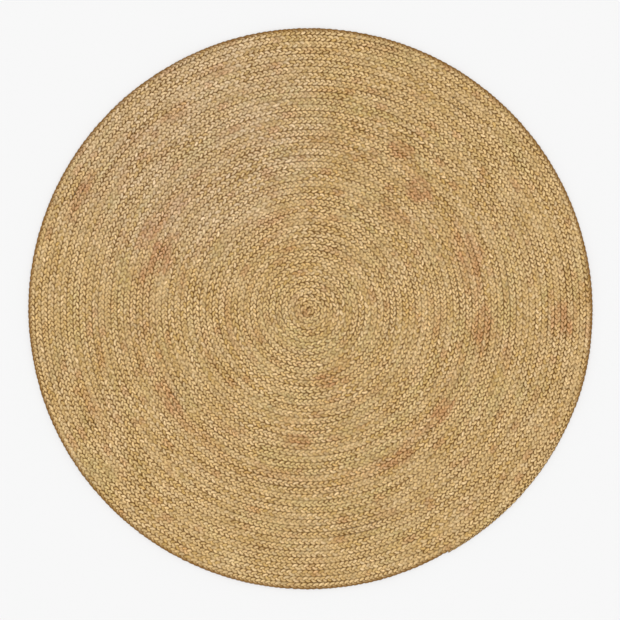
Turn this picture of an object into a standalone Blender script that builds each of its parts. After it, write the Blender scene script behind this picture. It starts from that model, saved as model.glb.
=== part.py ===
"""Round area rug: one three-strand jute plait wound flat as a coil and sewn edge to edge.

Metres, +Z up. The rug rests on z = 0, and the middle of its outline is over the origin.
Seen from above the coil opens clockwise from the centre and ends in a tapered tail.
A place on the coil is given by its course: the number of turns wound so far, with a
fraction. Course w has its outer seam at radius PITCH * w and its inner one a turn earlier.
Each braid_length is the plain outer form of three plaited strands. Each seam_thread lies
in the groove on the inner side of one braid_length and holds it to the turn before.
"""

import math

import bmesh
import bpy
from mathutils import Vector

# Rug and plait
RUG_DIAMETER = 1.2  # across the outline, the mean of all directions
PLAIT_WIDTH = 0.0135  # nominal: the coil takes the nearest whole number of courses
PLAIT_THICKNESS = 0.008
PLAIT_LENGTH = 7.0  # longest length of plait before the next one is joined on
SHOULDER = 0.00145  # how far each top edge of the plait stands in from its bottom edge
SHOULDER_LIMIT = 0.3  # the most a shoulder may take, as a share of the plait's local width

# Ends of the coil
EYE_RADIUS = 0.0004  # pinhole that the first turn closes round
START_COURSE = 0.25  # the plait's inner end, where it is still narrow
TAIL_TURN = 0.125  # share of a turn over which the outer end tapers
TAIL_WIDTH = 0.005  # width left at the tail's tip
TAIL_ANGLE = math.radians(-60)  # direction of the tip, about +Z from +X

# Sewing thread
THREAD_WIDTH = 0.0016
THREAD_THICKNESS = 0.0014
THREAD_START_COURSE = 1.75  # first place where both sides of the seam are full width

# Clearances
SEAM_GAP = 0.0003  # between neighbouring turns at the underside
BUTT_GAP = 0.0003  # between two lengths of plait, end to end
THREAD_GAP = 0.0003  # between the thread and each flank of its groove

# Facets
FEWEST_SIDES = 8  # sides of the innermost turn, doubled outwards as the turns grow
LARGEST_SAG = 0.0031  # how far a side may fall inside its circle before the count doubles

JUTE_COLOUR = (0.497, 0.328, 0.144)
THREAD_COLOUR = (0.560, 0.430, 0.250)
COLOUR_STEP = 0.035  # share by which one length of plait is paler than the last
SHADES = 3  # shades of jute, taken in turn
SMOOTH_ANGLE = math.radians(50)  # corners sharper than this stay as edges

# Worked out from the sizes above
COURSES = round(RUG_DIAMETER / 2 / PLAIT_WIDTH + 0.5)
PITCH = RUG_DIAMETER / 2 / (COURSES - 0.5)
GROOVE_SLOPE = SHOULDER / PLAIT_THICKNESS
THREAD_TOP = (THREAD_WIDTH / 2 + THREAD_GAP - SEAM_GAP / 2) / GROOVE_SLOPE


def clear_scene():
    for old in list(bpy.data.objects):
        bpy.data.objects.remove(old)


def new_collection(name):
    collection = bpy.data.collections.new(name)
    bpy.context.scene.collection.children.link(collection)
    return collection


def new_material(name, colour, roughness):
    material = bpy.data.materials.new(name)
    material.use_nodes = True
    shader = material.node_tree.nodes["Principled BSDF"]
    shader.inputs["Base Color"].default_value = (*colour, 1.0)
    shader.inputs["Roughness"].default_value = roughness
    shader.inputs["Metallic"].default_value = 0.0
    return material


def seam_radius(course):
    return PITCH * course


def inner_radius(course):
    """Inner bottom edge of the plait."""
    return max(seam_radius(course - 1) + SEAM_GAP / 2, EYE_RADIUS)


def outer_radius(course):
    """Outer bottom edge of the plait, drawn in along the tail."""
    full = seam_radius(course) - SEAM_GAP / 2
    tip = inner_radius(course) + TAIL_WIDTH
    along_tail = max(0.0, (course - (COURSES - TAIL_TURN)) / TAIL_TURN)
    return full + (tip - full) * along_tail


def place(course, radius, height):
    angle = TAIL_ANGLE + 2 * math.pi * (COURSES - course)
    return Vector((radius * math.cos(angle), radius * math.sin(angle), height))


def plait_section(course):
    """Four corners of the plait: the bottom edges, then the top edges inside them."""
    inner, outer = inner_radius(course), outer_radius(course)
    shoulder = min(SHOULDER, SHOULDER_LIMIT * (outer - inner))
    return [
        place(course, inner, 0.0),
        place(course, outer, 0.0),
        place(course, outer - shoulder, PLAIT_THICKNESS),
        place(course, inner + shoulder, PLAIT_THICKNESS),
    ]


def thread_section(course):
    """Three corners of the thread, its point down in the groove of the inner seam."""
    seam = seam_radius(course - 1)
    return [
        place(course, seam, THREAD_TOP - THREAD_THICKNESS),
        place(course, seam + THREAD_WIDTH / 2, THREAD_TOP),
        place(course, seam - THREAD_WIDTH / 2, THREAD_TOP),
    ]


def coil_stations():
    """Courses at the coil's corners. Each turn has as many sides as the one inside it, or twice."""
    stations = [START_COURSE]
    sides = FEWEST_SIDES
    while stations[-1] < COURSES:
        while seam_radius(stations[-1]) * (1 - math.cos(math.pi / sides)) > LARGEST_SAG:
            sides *= 2
        stations.append(stations[-1] + 1 / sides)
    return stations


def split_in_lengths(stations):
    """The stations of each length of plait, all about as long as each other."""
    run = [0.0]
    for start, end in zip(stations, stations[1:]):
        middle = (start + end) / 2
        radius = (inner_radius(middle) + outer_radius(middle)) / 2
        run.append(run[-1] + 2 * math.pi * (end - start) * radius)
    count = math.ceil(run[-1] / PLAIT_LENGTH)
    lengths = [[] for _ in range(count)]
    for station, distance in zip(stations, run):
        index = min(int(distance / run[-1] * count), count - 1)
        if index > 0 and not lengths[index]:
            lengths[index - 1].append(station)
        lengths[index].append(station)
    return lengths


def shorten(section, neighbour, distance):
    """The section moved along the coil towards its neighbour."""
    return [
        corner.lerp(other, distance / (other - corner).length)
        for corner, other in zip(section, neighbour)
    ]


def wind_prism(name, sections, material, collection):
    """A straight prism, cut once at each section and wound on to those sections."""
    corners, spans = len(sections[0]), len(sections) - 1
    bm = bmesh.new()
    bmesh.ops.create_cone(
        bm, cap_ends=True, segments=corners, radius1=1.0, radius2=1.0, depth=spans
    )
    along = [e for e in bm.edges if e.verts[0].co.z * e.verts[1].co.z < 0]
    bmesh.ops.subdivide_edges(bm, edges=along, cuts=spans - 1)
    for vertex in bm.verts:
        step = round(vertex.co.z + spans / 2)
        share_round = math.atan2(vertex.co.x, vertex.co.y) / (2 * math.pi)
        vertex.co = sections[step][round(share_round * corners) % corners]
    if bm.calc_volume(signed=True) < 0:
        bmesh.ops.reverse_faces(bm, faces=bm.faces)
    mesh = bpy.data.meshes.new(name)
    bm.to_mesh(mesh)
    bm.free()
    mesh.materials.append(material)
    mesh.shade_smooth()
    mesh.set_sharp_from_angle(angle=SMOOTH_ANGLE)
    wound = bpy.data.objects.new(name, mesh)
    collection.objects.link(wound)
    return wound


def plait_length(number, stations, collection):
    sections = [plait_section(course) for course in stations]
    if stations[0] > START_COURSE:
        sections[0] = shorten(sections[0], sections[1], BUTT_GAP / 2)
    if stations[-1] < COURSES:
        sections[-1] = shorten(sections[-1], sections[-2], BUTT_GAP / 2)
    shade = 1 + COLOUR_STEP * (number % SHADES - (SHADES - 1) / 2)
    colour = tuple(shade * c for c in JUTE_COLOUR)
    name = f"braid_length_{number:02d}"
    material = new_material(f"jute_{number:02d}", colour, 0.85)
    return wind_prism(name, sections, material, collection)


def thread_length(number, stations, collection):
    sections = [thread_section(c) for c in stations if c >= THREAD_START_COURSE]
    if stations[-1] < COURSES:
        sections[-1] = shorten(sections[-1], sections[-2], BUTT_GAP)
    name = f"seam_thread_{number:02d}"
    material = new_material(f"thread_{number:02d}", THREAD_COLOUR, 0.7)
    return wind_prism(name, sections, material, collection)


def centre_on_origin(pieces):
    """Moves every mesh so that the middle of the outline's box is over the origin."""
    xs = [v.co.x for piece in pieces for v in piece.data.vertices]
    ys = [v.co.y for piece in pieces for v in piece.data.vertices]
    middle = Vector(((min(xs) + max(xs)) / 2, (min(ys) + max(ys)) / 2, 0.0))
    for piece in pieces:
        for vertex in piece.data.vertices:
            vertex.co -= middle


def build_rug():
    rug = new_collection("coiled_jute_rug")
    pieces = []
    for number, stations in enumerate(split_in_lengths(coil_stations()), start=1):
        pieces.append(plait_length(number, stations, rug))
        pieces.append(thread_length(number, stations, rug))
    centre_on_origin(pieces)


clear_scene()
build_rug()
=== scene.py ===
"""Looks of the round braided jute rug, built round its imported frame.

Metres, +Z up. The rug is one coil of flat plait: a place on it is given by its turn, counted
from the centre, or by its run, the distance along the plait. Geometry Nodes lay three strands
along the coil, over and under each other, lace every turn to the one before, and add the
loose ends of fibre that stand out of the jute. Each strand keeps its run and its own way
round as attributes, so that yarns and fibres in the materials follow it.
"""

import math

import bpy
import numpy as np
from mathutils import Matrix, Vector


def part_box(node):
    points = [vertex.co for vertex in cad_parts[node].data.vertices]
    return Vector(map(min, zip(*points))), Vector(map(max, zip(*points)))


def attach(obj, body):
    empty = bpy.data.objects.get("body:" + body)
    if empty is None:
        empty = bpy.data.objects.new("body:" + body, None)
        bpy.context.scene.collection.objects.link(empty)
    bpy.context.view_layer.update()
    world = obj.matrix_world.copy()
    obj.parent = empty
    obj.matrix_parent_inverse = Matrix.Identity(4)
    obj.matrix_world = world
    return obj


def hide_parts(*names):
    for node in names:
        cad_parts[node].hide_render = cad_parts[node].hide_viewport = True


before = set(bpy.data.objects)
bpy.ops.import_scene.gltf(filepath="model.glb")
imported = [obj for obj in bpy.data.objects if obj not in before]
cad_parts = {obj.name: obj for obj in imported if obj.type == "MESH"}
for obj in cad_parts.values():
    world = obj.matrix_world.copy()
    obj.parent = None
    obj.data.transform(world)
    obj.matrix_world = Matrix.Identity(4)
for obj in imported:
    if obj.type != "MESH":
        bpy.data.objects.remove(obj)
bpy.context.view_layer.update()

# The coil, as the frame has it
TURNS = 45
RUG_RADIUS = 0.6
PITCH = RUG_RADIUS / (TURNS - 0.5)
COIL_CENTRE = (-0.00336, -0.00336, 0.0)
TAIL_ANGLE = math.radians(-60)
TAIL_TURN = 0.125
FIRST_TURN = 0.25
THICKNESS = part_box("braid_length_01")[1][2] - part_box("braid_length_01")[0][2]
LENGTHS = sum(name.startswith("braid_length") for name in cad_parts)

# The plait, which thins out to a tucked end
TAIL_WIDTH = 0.0032
PLAIT_PERIOD = 0.0339
SWAY = 0.0041
LIFT = 0.0021
STRAND_WIDTH = 0.0070
SQUARENESS = 0.12
STRAND_THICKNESS = 0.0041
STRAND_CLEARANCE = 0.0002
RINGS_PER_PERIOD = 14
STRAND_SIDES = 8

# How unevenly the plait is made: drift of its rhythm in radians, slackness as shares of its
# width, the lean of its lobes and the looseness and plumpness of a strand in metres
SLOW_DRIFT = 3.5
QUICK_DRIFT = 0.5
SLACKNESS = 0.25
OPEN_SEAM_SLACKNESS = 0.13
LEAN = 0.0022
LOOSENESS = 0.0005
PLUMPNESS = 0.0005
PLUMP_GIRTH = 0.15

# The lacing
STITCH = 0.0140
STITCH_WIDTH = 0.0030
STITCH_HEIGHT = 0.0045
STITCH_RISE = 0.0005
TWINE = 0.0015
STITCH_DRIFT = 3.0
RINGS_PER_STITCH = 5
TWINE_SIDES = 3
FIRST_LACED_TURN = 1.75

# The loose fibres
FIBRES = 4000
FIBRE_LENGTH = 0.011
FIBRE_THICKNESS = 0.00018
FIBRE_RINGS = 5
FIBRE_SIDES = 3

# Where warm jute was plaited in, as turn, degrees, half width in turns and half length in degrees
WARM_PATCHES = (
    (12.0, 283, 1.5, 14),
    (21.2, 264, 1.6, 12),
    (25.4, 160, 3.2, 9),
    (26.3, 47, 2.6, 6),
    (26.6, 213, 1.6, 10),
    (27.0, 324, 1.6, 8),
    (27.9, 301, 1.6, 8),
    (28.2, 354, 1.8, 12),
    (28.3, 19, 1.8, 9),
    (28.7, 152, 2.0, 6),
    (29.8, 60, 1.8, 6),
    (40.3, 358, 2.4, 6),
    (41.0, 153, 1.2, 8),
)

# The handled centre and the paler batch, in the same terms
CENTRE_PATCH = (1.0, 180, 2.6, 180)
PALE_BATCH = (34.0, 125, 26.0, 50)

# Where a seam gapes a little, as turn, degrees and half length in metres
OPEN_SEAMS = (
    (40.8, 54, 0.030),
    (30.4, 66, 0.025),
    (41.0, 153, 0.025),
    (25.4, 158, 0.020),
    (28.0, 20, 0.020),
    (39.7, 208, 0.020),
    (25.6, 212, 0.020),
)

# Jute's colours, the colour its painted shade takes, and how little it shines
STRAW = (0.87, 0.64, 0.352, 1)
TAN = (0.62, 0.395, 0.132, 1)
RUST = (0.60, 0.295, 0.13, 1)
MOSS = (0.64, 0.52, 0.215, 1)
BLEACH = (0.985, 1.02, 1.19, 1)
SHADOW = (0.20, 0.085, 0.010, 1)
UMBER = (0.36, 0.20, 0.07, 1)
MATT_SPECULAR = 0.08

# The room and the view
FLOOR_SIZE = 60.0
FLOOR_WHITE = (0.80, 0.80, 0.80, 1)
ROOM_LIGHT = 0.50
LAMP_ENERGY = 2.10
LAMP_ANGLE = math.radians(50)
VIEW_WIDTH = 1.3208
VIEW_MIDDLE = (-0.00096, -0.00266)
LENS, SENSOR = 90, 36


def run_at(turn):
    """Distance along the plait from the coil's centre to a turn."""
    if turn > 1:
        return math.pi * PITCH * ((turn - 0.5) ** 2 + 0.25)
    return math.pi * PITCH * turn**2 / 2


def turn_near(turn, degrees):
    """The turn nearest to this one at which the coil passes a direction."""
    passing = TURNS - (math.radians(degrees) - TAIL_ANGLE) / (2 * math.pi)
    return passing + round(turn - passing)


# Node building

def join_nodes(tree, node, values):
    """Feeds a node's inputs, by name or number, from sockets, fields or plain values."""
    for key, value in values.items():
        socket = node.inputs[key]
        if isinstance(value, Field):
            value = value.socket
        if isinstance(value, bpy.types.NodeSocket):
            tree.links.new(value, socket)
        else:
            socket.default_value = value


def add_node(tree, kind, values=None, **settings):
    """A new node with these settings and inputs."""
    node = tree.nodes.new(kind)
    for key, value in settings.items():
        setattr(node, key, value)
    join_nodes(tree, node, values or {})
    return node


class Field:
    """A value in a node tree, with plain arithmetic."""

    def __init__(self, tree, socket):
        self.tree, self.socket = tree, socket

    def math(self, operation, *others):
        node = self.tree.nodes.new("ShaderNodeMath")
        node.operation = operation
        join_nodes(self.tree, node, dict(enumerate((self, *others))))
        return Field(self.tree, node.outputs[0])

    def __add__(self, other):
        return self.math("ADD", other)

    def __sub__(self, other):
        return self.math("SUBTRACT", other)

    def __mul__(self, other):
        return self.math("MULTIPLY", other)

    def __truediv__(self, other):
        return self.math("DIVIDE", other)

    def sin(self):
        return self.math("SINE")

    def cos(self):
        return self.math("COSINE")

    def sqrt(self):
        return self.math("SQRT")

    def at_least(self, other):
        return self.math("MAXIMUM", other)

    def at_most(self, other):
        return self.math("MINIMUM", other)

    def between(self, low, high):
        """0 below low, 1 above high, and an easy slope from one to the other."""
        node = add_node(self.tree, "ShaderNodeMapRange", {0: self, 1: low, 2: high},
                        interpolation_type="SMOOTHSTEP")
        return Field(self.tree, node.outputs[0])


def combine(tree, x, y, z):
    return add_node(tree, "ShaderNodeCombineXYZ", {0: x, 1: y, 2: z}).outputs[0]


def smooth_noise(tree, place, seed, scale, detail=1.0):
    """Noise from -1 to 1 along a single number."""
    node = add_node(tree, "ShaderNodeTexNoise", {"W": place + seed, "Scale": scale, "Detail": detail},
                    noise_dimensions="1D")
    return (Field(tree, node.outputs["Fac"]) - 0.5) * 2.0


def new_tree(name, inputs):
    """A Geometry Nodes tree with named inputs, given as (name, kind, value)."""
    tree = bpy.data.node_groups.new(name, "GeometryNodeTree")
    for label, kind, value in inputs:
        socket = tree.interface.new_socket(label, in_out="INPUT", socket_type="NodeSocket" + kind)
        if value is not None:
            socket.default_value = value
    tree.interface.new_socket("Geometry", in_out="OUTPUT", socket_type="NodeSocketGeometry")
    source = tree.nodes.new("NodeGroupInput")
    given = {label: Field(tree, source.outputs[label]) for label, _, _ in inputs}
    return tree, given


def finish_tree(tree, geometry, material):
    """Ends a tree: shaded smooth, instances made real, material set."""
    smooth = add_node(tree, "GeometryNodeSetShadeSmooth", {"Geometry": geometry})
    real = add_node(tree, "GeometryNodeRealizeInstances", {"Geometry": smooth.outputs[0]})
    worn = add_node(tree, "GeometryNodeSetMaterial", {"Geometry": real.outputs[0], "Material": material})
    out = tree.nodes.new("NodeGroupOutput")
    tree.links.new(worn.outputs[0], out.inputs[0])


def store(tree, geometry, name, value, data_type="FLOAT"):
    """Keeps a value on the geometry's points under a name."""
    node = add_node(tree, "GeometryNodeStoreNamedAttribute", {"Geometry": geometry, "Name": name},
                    data_type=data_type, domain="POINT")
    join_nodes(tree, node, {"Value": value})
    return node.outputs[0]


# The coil in nodes

def coil_fields(tree, run):
    """Radius, angle and half width of the plait at a run along it."""
    wound = run / (math.pi * PITCH)
    outside = (wound - 0.25).at_least(0.0).sqrt() + 0.5
    inside = (wound * 2.0).at_least(0.0).sqrt().at_most(1.0)
    first = wound.math("LESS_THAN", 0.5)
    turn = outside * (first * -1.0 + 1.0) + inside * first
    inner = ((turn - 1.0) * PITCH).at_least(0.0)
    full = turn * PITCH
    along_tail = ((turn - (TURNS - TAIL_TURN)) / TAIL_TURN).at_least(0.0).at_most(1.0)
    outer = full + (inner + TAIL_WIDTH - full) * along_tail
    radius = (inner + outer) / 2.0
    half_width = (outer - inner) / 2.0
    angle = (turn * -1.0 + TURNS) * (2 * math.pi) + TAIL_ANGLE
    return radius, angle, half_width


def place_on_coil(tree, radius, angle, height):
    x = angle.cos() * radius + COIL_CENTRE[0]
    y = angle.sin() * radius + COIL_CENTRE[1]
    return combine(tree, x, y, height)


def evenly_along(tree, given):
    """A line of points, and the run of each, from Run Start to Run End."""
    line = add_node(tree, "GeometryNodeCurvePrimitiveLine")
    points = add_node(tree, "GeometryNodeResampleCurve",
                      {"Curve": line.outputs[0], "Count": given["Rings"]}, mode="COUNT")
    index = Field(tree, tree.nodes.new("GeometryNodeInputIndex").outputs[0])
    step = (given["Run End"] - given["Run Start"]) / (given["Rings"] - 1.0)
    return points.outputs[0], given["Run Start"] + index * step


def tube_along(tree, points, position, run, strand, sides, width, thickness, scale):
    """A tube along the points that keeps its run, its strand and its way round as attributes."""
    placed = add_node(tree, "GeometryNodeSetPosition", {"Geometry": points, "Position": position})
    turned = add_node(tree, "GeometryNodeSetCurveNormal", {"Curve": placed.outputs[0]}, mode="Z_UP")
    marked = store(tree, turned.outputs[0], "along", run)
    marked = store(tree, marked, "strand", float(strand))
    profile = add_node(tree, "GeometryNodeCurvePrimitiveCircle", {"Resolution": sides, "Radius": 0.5},
                       mode="RADIUS")
    at = tree.nodes.new("GeometryNodeInputPosition").outputs[0]
    rim = store(tree, profile.outputs[0], "rim", at, "FLOAT_VECTOR")
    sized = add_node(tree, "GeometryNodeTransform", {
        "Geometry": rim, "Scale": combine(tree, width, thickness, 1.0),
    })
    tube = add_node(tree, "GeometryNodeCurveToMesh", {
        "Curve": marked, "Profile Curve": sized.outputs[0], "Scale": scale, "Fill Caps": True,
    })
    return tube.outputs[0]


def flatten_under(tree, geometry):
    """Presses whatever would pass below the floor flat on it."""
    position = tree.nodes.new("GeometryNodeInputPosition").outputs[0]
    at = add_node(tree, "ShaderNodeSeparateXYZ", {0: position})
    height = Field(tree, at.outputs[2]).at_least(STRAND_CLEARANCE)
    pressed = add_node(tree, "GeometryNodeSetPosition", {
        "Geometry": geometry, "Position": combine(tree, at.outputs[0], at.outputs[1], height),
    })
    return pressed.outputs[0]


# The pieces

def plait_tree():
    """Three strands laid along the coil between two runs."""
    tree, given = new_tree("Plait", [
        ("Run Start", "Float", 0.0),
        ("Run End", "Float", 1.0),
        ("Rings", "Int", 100),
        ("Sides", "Int", STRAND_SIDES),
        ("Plait Period", "Float", PLAIT_PERIOD),
        ("Sway", "Float", SWAY),
        ("Lift", "Float", LIFT),
        ("Strand Width", "Float", STRAND_WIDTH),
        ("Strand Thickness", "Float", STRAND_THICKNESS),
        ("Material", "Material", None),
    ])
    joined = tree.nodes.new("GeometryNodeJoinGeometry")
    for strand in range(3):
        points, run = evenly_along(tree, given)
        radius, angle, half_width = coil_fields(tree, run)
        slack = (smooth_noise(tree, run, 17.1, 4.0) - 0.30).at_least(0.0) * SLACKNESS
        for turn, degrees, half_length in OPEN_SEAMS:
            away = (run - run_at(turn_near(turn, degrees))).math("ABSOLUTE")
            slack = slack + away.between(half_length, half_length / 2) * OPEN_SEAM_SLACKNESS
        fullness = half_width / (PITCH / 2) * (slack * -1.0 + 1.0)
        drift = smooth_noise(tree, run, 7.3, 5.0) * SLOW_DRIFT
        drift = drift + smooth_noise(tree, run, 3.1, 22.0) * QUICK_DRIFT
        phase = run / given["Plait Period"] * (2 * math.pi) + drift + 2 * math.pi * strand / 3
        loose = smooth_noise(tree, run, 53.9 + 5 * strand, 70.0)
        swing = (phase.sin() + (phase * 3.0).sin() * SQUARENESS) / (1 - SQUARENESS)
        lean = smooth_noise(tree, run, 23.5, 8.0) * LEAN
        sway = swing * given["Sway"] * fullness + loose * LOOSENESS
        plump = smooth_noise(tree, run, 31.7 + 5 * strand, 60.0)
        lift = (phase * 2.0).sin() * given["Lift"] * -1.0
        height = lift + THICKNESS / 2 + plump * PLUMPNESS + swing * lean
        tube = tube_along(tree, points, place_on_coil(tree, radius + sway, angle, height), run, strand,
                          given["Sides"], given["Strand Width"], given["Strand Thickness"],
                          fullness * (plump * PLUMP_GIRTH + 1.0))
        tree.links.new(tube, joined.inputs[0])
    finish_tree(tree, flatten_under(tree, joined.outputs[0]), given["Material"])
    return tree


def lacing_tree():
    """One twine laid to and fro across the seam under each turn's inner edge."""
    tree, given = new_tree("Lacing", [
        ("Run Start", "Float", 0.0),
        ("Run End", "Float", 1.0),
        ("Rings", "Int", 100),
        ("Sides", "Int", TWINE_SIDES),
        ("Stitch", "Float", STITCH),
        ("Stitch Width", "Float", STITCH_WIDTH),
        ("Stitch Height", "Float", STITCH_HEIGHT),
        ("Twine", "Float", TWINE),
        ("Material", "Material", None),
    ])
    points, run = evenly_along(tree, given)
    radius, angle, half_width = coil_fields(tree, run)
    stitch = run / given["Stitch"] * (2 * math.pi) + smooth_noise(tree, run, 11.9, 9.0) * STITCH_DRIFT
    across = stitch.sin() * given["Stitch Width"] / 2.0
    height = given["Stitch Height"] + (stitch * 2.0).cos() * -STITCH_RISE
    position = place_on_coil(tree, radius - half_width + across, angle, height)
    tube = tube_along(tree, points, position, run, 3, given["Sides"], given["Twine"], given["Twine"], 1.0)
    finish_tree(tree, tube, given["Material"])
    return tree


def fibre_tree():
    """Short loose ends of fibre scattered along the top and sides of the plait."""
    tree, given = new_tree("Loose Fibres", [
        ("Run End", "Float", 1.0),
        ("Count", "Int", 1000),
        ("Length", "Float", 0.01),
        ("Thickness", "Float", 0.0002),
        ("Root Height", "Float", 0.007),
        ("Seed", "Int", 1),
        ("Material", "Material", None),
    ])
    line = add_node(tree, "GeometryNodeMeshLine", {"Count": given["Count"]})

    def chance(low, high, shift):
        node = add_node(tree, "FunctionNodeRandomValue", data_type="FLOAT")
        join_nodes(tree, node, {2: low, 3: high, "Seed": given["Seed"] + float(shift)})
        return Field(tree, node.outputs[1])

    run = chance(0.0, 1.0, 0) * given["Run End"]
    radius, angle, half_width = coil_fields(tree, run)
    place = place_on_coil(tree, radius + half_width * chance(-1.0, 1.0, 1), angle,
                          given["Root Height"] + chance(-0.0010, 0.0004, 2))
    points = add_node(tree, "GeometryNodeSetPosition", {"Geometry": line.outputs[0], "Position": place})
    arch = add_node(tree, "GeometryNodeCurveQuadraticBezier", {
        "Resolution": FIBRE_RINGS - 1, "Start": (-0.5, 0.0, -0.02), "Middle": (0.0, 0.22, 0.34),
        "End": (0.5, 0.0, 0.0),
    })
    profile = add_node(tree, "GeometryNodeCurvePrimitiveCircle", {"Resolution": FIBRE_SIDES}, mode="RADIUS")
    join_nodes(tree, profile, {"Radius": given["Thickness"] / given["Length"] / 2.0})
    hair = add_node(tree, "GeometryNodeCurveToMesh", {
        "Curve": arch.outputs[0], "Profile Curve": profile.outputs[0],
    })
    turned = combine(tree, chance(-0.5, 0.5, 3), chance(-0.45, 0.25, 4), chance(0.0, 2 * math.pi, 5))
    size = given["Length"] * chance(0.5, 1.3, 6)
    placed = add_node(tree, "GeometryNodeInstanceOnPoints", {
        "Points": points.outputs[0], "Instance": hair.outputs[0], "Rotation": turned,
        "Scale": combine(tree, size, size, size),
    })
    finish_tree(tree, placed.outputs[0], given["Material"])
    return tree


def grow(name, tree, values):
    """The plain mesh that a tree makes with these inputs."""
    carrier = bpy.data.objects.new(name + "_carrier", bpy.data.meshes.new(name + "_carrier"))
    bpy.context.scene.collection.objects.link(carrier)
    modifier = carrier.modifiers.new("Grow", "NODES")
    modifier.node_group = tree
    for item in tree.interface.items_tree:
        if item.in_out == "INPUT" and item.name in values:
            modifier[item.identifier] = values[item.name]
    carrier.update_tag()
    graph = bpy.context.evaluated_depsgraph_get()
    mesh = bpy.data.meshes.new_from_object(carrier.evaluated_get(graph), depsgraph=graph)
    mesh.name = name
    while mesh.materials[0] is None:
        mesh.materials.pop(index=0)
    bpy.data.objects.remove(carrier)
    piece = bpy.data.objects.new(name, mesh)
    bpy.context.scene.collection.objects.link(piece)
    return piece


# Materials

def blend(tree, factor, first, second, kind="MIX"):
    """Second over first, by factor."""
    node = add_node(tree, "ShaderNodeMix", {0: factor, 6: first, 7: second},
                    data_type="RGBA", blend_type=kind)
    return node.outputs[2]


def attribute(tree, name, output):
    node = add_node(tree, "ShaderNodeAttribute", attribute_name=name)
    return node.outputs[output]


def shader_group(name, inputs, outputs):
    """An empty shader node group with named inputs and outputs, given as (name, kind)."""
    tree = bpy.data.node_groups.new(name, "ShaderNodeTree")
    for label, kind in inputs:
        tree.interface.new_socket(label, in_out="INPUT", socket_type="NodeSocket" + kind)
    for label, kind in outputs:
        tree.interface.new_socket(label, in_out="OUTPUT", socket_type="NodeSocket" + kind)
    source = tree.nodes.new("NodeGroupInput")
    given = {label: Field(tree, source.outputs[label]) for label, _ in inputs}
    return tree, given, tree.nodes.new("NodeGroupOutput")


def yarn_group():
    """Twisted yarns and their fibres, in the strand's own space: round the strand and along it."""
    tree, given, out = shader_group(
        "jute_yarns",
        [("Rim", "Vector"), ("Along", "Float"), ("Strand", "Float"), ("Twist", "Float"),
         ("Yarns", "Float"), ("Fineness", "Float")],
        [("Fibres", "Float"), ("Ridges", "Float"), ("Height", "Float")])
    turned = add_node(tree, "ShaderNodeVectorRotate", {
        "Vector": given["Rim"], "Angle": given["Along"] * given["Twist"],
    }, rotation_type="Z_AXIS")
    round_it = add_node(tree, "ShaderNodeSeparateXYZ", {0: turned.outputs[0]})
    x, y = Field(tree, round_it.outputs[0]), Field(tree, round_it.outputs[1])
    place = combine(tree, x * given["Fineness"], y * given["Fineness"],
                    given["Along"] * 110.0 + given["Strand"] * 9.1)
    noise = add_node(tree, "ShaderNodeTexNoise", {
        "Vector": place, "Scale": 1.0, "Detail": 4.0, "Roughness": 0.62,
    }, noise_dimensions="3D")
    fibres = Field(tree, noise.outputs["Fac"])
    ridges = (y.math("ARCTAN2", x) * given["Yarns"] * 0.5).sin().math("ABSOLUTE").sqrt()
    join_nodes(tree, out, {
        "Fibres": fibres, "Ridges": ridges, "Height": ridges * 0.7 + fibres,
    })
    return tree


def batch_group():
    """Warm, mossy and pale patches where one batch of jute gave way to another, and a cloud that makes the
    painted shade in the seams darker in places.
    """
    tree, given, out = shader_group(
        "jute_batches",
        [("Place", "Vector")],
        [("Warm", "Float"), ("Moss", "Float"), ("Pale", "Float"), ("Depth", "Float"), ("Radius", "Float")])
    centred = add_node(tree, "ShaderNodeVectorMath", {0: given["Place"], 1: COIL_CENTRE},
                       operation="SUBTRACT")
    at = add_node(tree, "ShaderNodeSeparateXYZ", {0: centred.outputs[0]})
    x, y = Field(tree, at.outputs[0]), Field(tree, at.outputs[1])
    radius = (x * x + y * y).sqrt()

    def cloud(shift, scale):
        noise = add_node(tree, "ShaderNodeTexNoise", {
            "Vector": combine(tree, x, y, radius * 3.0 + shift), "Scale": scale, "Detail": 2.0,
        }, noise_dimensions="3D")
        return Field(tree, noise.outputs["Fac"])

    def patch(turn, degrees, half_turns, half_degrees):
        middle, way = PITCH * (turn - 0.5), math.radians(degrees)
        local = add_node(tree, "ShaderNodeMapping", {
            "Vector": centred.outputs[0],
            "Location": (middle * math.cos(way), middle * math.sin(way), 0),
            "Rotation": (0, 0, way),
            "Scale": (PITCH * half_turns, max(middle * math.radians(half_degrees), PITCH * half_turns), 1),
        }, vector_type="TEXTURE")
        mask = add_node(tree, "ShaderNodeTexGradient", {0: local.outputs[0]}, gradient_type="SPHERICAL")
        return Field(tree, mask.outputs["Fac"])

    placed = patch(*CENTRE_PATCH) * 0.35
    for warm_patch in WARM_PATCHES:
        placed = placed.at_least(patch(*warm_patch))
    ragged = cloud(9.3, 30.0) - 0.5
    warm_band = (radius / PITCH - 26.5).math("ABSOLUTE").between(3.2, 0.5)
    warm = (placed + ragged * 0.9).between(0.10, 0.55) + cloud(0.0, 8.0).between(0.56, 0.76) * 0.6
    warm = warm + warm_band * cloud(2.2, 11.0).between(0.42, 0.66) * 0.45
    moss = cloud(4.7, 8.0).between(0.52, 0.72) * 0.7
    pale = patch(*PALE_BATCH).between(0.0, 0.6)
    # Depth: how dark the painted shade in the seams is from place to place; it also shifts the strands'
    # tone a little
    depth = cloud(13.7, 14.0).between(0.36, 0.64)
    join_nodes(tree, out, {
        "Warm": warm.at_most(1.0), "Moss": moss, "Pale": pale, "Depth": depth, "Radius": radius,
    })
    return tree


def new_material(name):
    """A matt material, with its tree and its shader."""
    material = bpy.data.materials.new(name)
    material.use_nodes = True
    shader = material.node_tree.nodes["Principled BSDF"]
    shader.inputs["Specular IOR Level"].default_value = MATT_SPECULAR
    return material, material.node_tree, shader


def scale_colour(tree, colour, factor):
    node = add_node(tree, "ShaderNodeVectorMath", {0: colour}, operation="SCALE")
    join_nodes(tree, node, {"Scale": factor})
    return node.outputs[0]


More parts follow.
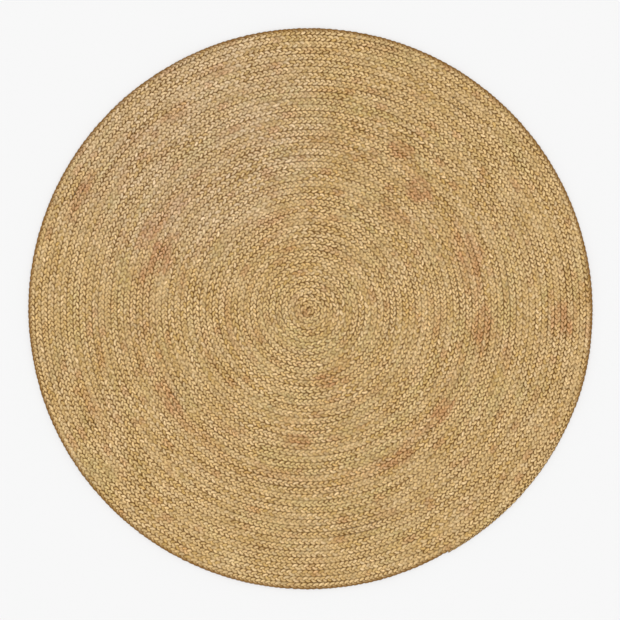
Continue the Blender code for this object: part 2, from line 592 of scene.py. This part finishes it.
def finish_material(tree, shader, colour, grain, roughness, height, strength, depth):
    """Joins colour, roughness that follows a grain, and bump to the shader."""
    bump = add_node(tree, "ShaderNodeBump", {"Height": height, "Strength": strength, "Distance": depth})
    join_nodes(tree, shader, {
        "Base Color": colour, "Roughness": grain * 0.3 + roughness, "Normal": bump.outputs[0],
    })


def plaited_jute(batches, yarns):
    """Plaited jute: straw and tan strands, rusty and mossy patches, and painted shade in the hollows, along
    the strands' sides and on the rug's outer edge.
    """
    material, tree, shader = new_material("plaited_jute")
    run = Field(tree, attribute(tree, "along", "Fac"))
    strand = Field(tree, attribute(tree, "strand", "Fac"))
    rim = attribute(tree, "rim", "Vector")
    place = add_node(tree, "ShaderNodeTexCoord").outputs["Object"]
    height = Field(tree, add_node(tree, "ShaderNodeSeparateXYZ", {0: place}).outputs[2])
    batch = add_node(tree, "ShaderNodeGroup", node_tree=batches)
    join_nodes(tree, batch, {"Place": place})
    yarn = add_node(tree, "ShaderNodeGroup", node_tree=yarns)
    join_nodes(tree, yarn, {
        "Rim": rim, "Along": run, "Strand": strand, "Twist": 90.0, "Yarns": 5.0, "Fineness": 26.0,
    })
    own = run + strand * 17.3
    slow = smooth_noise(tree, own, 0.0, 9.0, 2.0) * 0.5 + 0.5
    quick = smooth_noise(tree, own, 40.0, 75.0)
    colour = blend(tree, slow.between(0.10, 0.90), STRAW, TAN)
    course = smooth_noise(tree, run, 90.0, 20.0)
    dashes = smooth_noise(tree, run, 215.0, 15.0).between(0.26, 0.55) * 0.55
    warm = Field(tree, batch.outputs["Warm"]) * (smooth_noise(tree, own, 90.0, 30.0) * 0.6 + course + 0.75)
    warm = warm.at_least(dashes)
    green = Field(tree, batch.outputs["Moss"]) * (smooth_noise(tree, own, 140.0, 30.0) * 0.8 + 0.6)
    colour = blend(tree, warm.at_least(0.0).at_most(1.0) * 0.72, colour, RUST)
    colour = blend(tree, green.at_least(0.0).at_most(1.0) * 0.7, colour, MOSS)
    colour = blend(tree, batch.outputs["Pale"], colour, BLEACH, "MULTIPLY")
    lit = quick * 0.36 + 1.0
    streaks = Field(tree, yarn.outputs["Fibres"]).between(0.28, 0.72) * 0.50 + 0.73
    # Darker in the grooves between the yarns: painted shade
    ridges = Field(tree, yarn.outputs["Ridges"]) * 0.26 + 0.81
    depth = Field(tree, batch.outputs["Depth"])
    tone = lit * streaks * ridges * (depth * 0.10 + 0.95)
    toned = scale_colour(tree, colour, tone)
    # Painted shade: darker low down in the hollows between strands and towards each strand's sides, with a
    # noise and the Depth cloud setting how dark
    across = Field(tree, add_node(tree, "ShaderNodeSeparateXYZ", {0: rim}).outputs[0]).math("ABSOLUTE")
    deep = smooth_noise(tree, run, 305.0, 5.0, 2.0) * 0.4 + depth * 0.7 + 0.65
    hollow = (height.between(0.0068, 0.0040) + across.between(0.17, 0.48) * 0.75) * deep
    # Painted shade on the outer edge of the last turn
    turn = (run / (math.pi * PITCH) - 0.25).at_least(0.0).sqrt() + 0.5
    outside = Field(tree, batch.outputs["Radius"]) - (turn - 0.5) * PITCH
    last_turn = run.between(run_at(TURNS - 1) - 0.05, run_at(TURNS - 1) + 0.05)
    painted_rim_shade = outside.between(-0.0010, 0.0050) * last_turn
    final = blend(tree, (hollow + painted_rim_shade).at_most(1.0) * 0.85, toned, SHADOW)
    finish_material(tree, shader, final, grain=Field(tree, yarn.outputs["Fibres"]), roughness=0.7,
                    height=yarn.outputs["Height"], strength=1.0, depth=0.0010)
    return material


def lacing_twine(yarns):
    """Two-ply lacing twine, spun from the same jute as the plait."""
    material, tree, shader = new_material("lacing_twine")
    run = Field(tree, attribute(tree, "along", "Fac"))
    yarn = add_node(tree, "ShaderNodeGroup", node_tree=yarns)
    join_nodes(tree, yarn, {
        "Rim": attribute(tree, "rim", "Vector"), "Along": run,
        "Twist": 420.0, "Yarns": 2.0, "Fineness": 12.0,
    })
    shade = smooth_noise(tree, run, 260.0, 20.0, 2.0) * 0.5 + 0.5
    # Darker where the twine's surface is low: painted shade in the grooves between the plies, mixed with
    # the fibres' own tone
    tone = Field(tree, yarn.outputs["Height"]) * 0.45 + 0.45
    toned = scale_colour(tree, blend(tree, shade, STRAW, TAN), tone)
    finish_material(tree, shader, toned, grain=Field(tree, yarn.outputs["Fibres"]), roughness=0.7,
                    height=yarn.outputs["Height"], strength=1.0, depth=0.0004)
    return material


def loose_fibre():
    """Single fibres of jute, most of them pale and a few brown."""
    material, tree, shader = new_material("loose_jute_fibre")
    place = add_node(tree, "ShaderNodeTexCoord").outputs["Object"]
    batch = add_node(tree, "ShaderNodeTexNoise", {"Vector": place, "Scale": 60.0, "Detail": 2.0})
    fine = add_node(tree, "ShaderNodeTexNoise", {"Vector": place, "Scale": 1500.0, "Detail": 2.0})
    shade = Field(tree, batch.outputs["Fac"]).between(0.45, 0.62)
    grain = Field(tree, fine.outputs["Fac"])
    finish_material(tree, shader, blend(tree, shade, STRAW, UMBER), grain, roughness=0.65,
                    height=grain, strength=0.5, depth=0.0001)
    return material


def length_cuts():
    """The runs at which one length of plait ends and the next begins."""
    start = run_at(FIRST_TURN)
    return [start + (run_at(TURNS) - start) * k / LENGTHS for k in range(LENGTHS + 1)]


def lay_out_flat(piece, tubes, rings, sides, rows):
    """Gives tubes a UV map: slit along one side, laid flat end to end and broken into rows."""
    mesh = piece.data
    corner = np.empty(len(mesh.loops), dtype=np.int64)
    mesh.loops.foreach_get("vertex_index", corner)
    size = np.empty(len(mesh.polygons), dtype=np.int64)
    mesh.polygons.foreach_get("loop_total", size)
    first = np.concatenate(([0], np.cumsum(size)[:-1]))
    face = np.repeat(np.arange(len(size)), size)
    tube, left = np.divmod(corner, rings * sides)
    ring, side = np.divmod(left, sides)
    first_ring = np.minimum.reduceat(ring, first)[face]
    across_slit = (np.maximum.reduceat(side, first) - np.minimum.reduceat(side, first) == sides - 1)[face]
    side = np.where(across_slit & (side == 0), sides, side)
    is_cap = (np.maximum.reduceat(ring, first)[face] == first_ring)
    step = tube * (rings - 1) + np.minimum(first_ring, rings - 2)
    per_row = -(-tubes * (rings - 1) // rows)
    row, column = np.divmod(step, per_row)
    u = (column + ring - first_ring) / per_row
    v = (row + 0.08 + 0.84 * side / sides) / (rows + 1)
    turn = 2 * np.pi * side / sides
    end = 2 * tube + (first_ring > 0)
    u = np.where(is_cap, (end + 0.5 + 0.4 * np.cos(turn)) / (2 * tubes), u)
    v = np.where(is_cap, (rows + 0.5 + 0.4 * np.sin(turn)) / (rows + 1), v)
    layer = mesh.uv_layers.new(name="OFBake")
    layer.data.foreach_set("uv", np.column_stack((u, v)).astype(np.float32).ravel())


def add_to_rug(piece, node):
    """Fixes a piece to the rug, in place of a frame node if one is given."""
    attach(piece, "root")
    if node:
        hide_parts(node)


def plait_pieces(material):
    tree = plait_tree()
    cuts = length_cuts()
    for number, (first, last) in enumerate(zip(cuts, cuts[1:]), start=1):
        rings = round((last - first) / PLAIT_PERIOD * RINGS_PER_PERIOD)
        piece = grow(f"plait_{number:02d}", tree, {
            "Run Start": first, "Run End": last, "Rings": rings, "Sides": STRAND_SIDES,
            "Plait Period": PLAIT_PERIOD, "Sway": SWAY, "Lift": LIFT,
            "Strand Width": STRAND_WIDTH, "Strand Thickness": STRAND_THICKNESS,
            "Material": material,
        })
        lay_out_flat(piece, tubes=3, rings=rings, sides=STRAND_SIDES, rows=35)
        add_to_rug(piece, f"braid_length_{number:02d}")


def lacing_pieces(material):
    tree = lacing_tree()
    cuts = length_cuts()
    cuts[0] = run_at(FIRST_LACED_TURN)
    for number, (first, last) in enumerate(zip(cuts, cuts[1:]), start=1):
        rings = round((last - first) / STITCH * RINGS_PER_STITCH)
        piece = grow(f"lacing_{number:02d}", tree, {
            "Run Start": first, "Run End": last, "Rings": rings, "Sides": TWINE_SIDES,
            "Stitch": STITCH, "Stitch Width": STITCH_WIDTH, "Stitch Height": STITCH_HEIGHT,
            "Twine": TWINE, "Material": material,
        })
        lay_out_flat(piece, tubes=1, rings=rings, sides=TWINE_SIDES, rows=40)
        add_to_rug(piece, f"seam_thread_{number:02d}")


def fibre_piece(material):
    piece = grow("loose_fibres", fibre_tree(), {
        "Run End": run_at(TURNS), "Count": FIBRES, "Length": FIBRE_LENGTH,
        "Thickness": FIBRE_THICKNESS, "Root Height": THICKNESS - 0.0009, "Seed": 7, "Material": material,
    })
    lay_out_flat(piece, tubes=FIBRES, rings=FIBRE_RINGS, sides=FIBRE_SIDES, rows=120)
    add_to_rug(piece, None)


def floor():
    bpy.ops.mesh.primitive_plane_add(size=FLOOR_SIZE, location=(0, 0, 0))
    plane = bpy.context.object
    plane.name = "floor"
    material = bpy.data.materials.new("pale_floor")
    material.use_nodes = True
    shader = material.node_tree.nodes["Principled BSDF"]
    shader.inputs["Base Color"].default_value = FLOOR_WHITE
    shader.inputs["Roughness"].default_value = 0.9
    plane.data.materials.append(material)


def lights():
    world = bpy.data.worlds.new("studio")
    bpy.context.scene.world = world
    world.use_nodes = True
    world.node_tree.nodes["Background"].inputs["Color"].default_value = (1, 1, 1, 1)
    world.node_tree.nodes["Background"].inputs["Strength"].default_value = ROOM_LIGHT
    lamp = bpy.data.lights.new("soft_overhead", "SUN")
    lamp.angle = LAMP_ANGLE
    lamp.energy = LAMP_ENERGY
    lit = bpy.data.objects.new("soft_overhead", lamp)
    lit.location = (0, 0, 3)
    bpy.context.scene.collection.objects.link(lit)


def camera():
    data = bpy.data.cameras.new("camera")
    data.lens = LENS
    data.sensor_width = SENSOR
    eye = bpy.data.objects.new("camera", data)
    eye.location = (*VIEW_MIDDLE, THICKNESS + VIEW_WIDTH * LENS / SENSOR)
    bpy.context.scene.collection.objects.link(eye)
    bpy.context.scene.camera = eye
    bpy.context.scene.view_settings.view_transform = "Standard"


camera()
floor()
lights()
yarns = yarn_group()
plait_pieces(plaited_jute(batch_group(), yarns))
lacing_pieces(lacing_twine(yarns))
fibre_piece(loose_fibre())
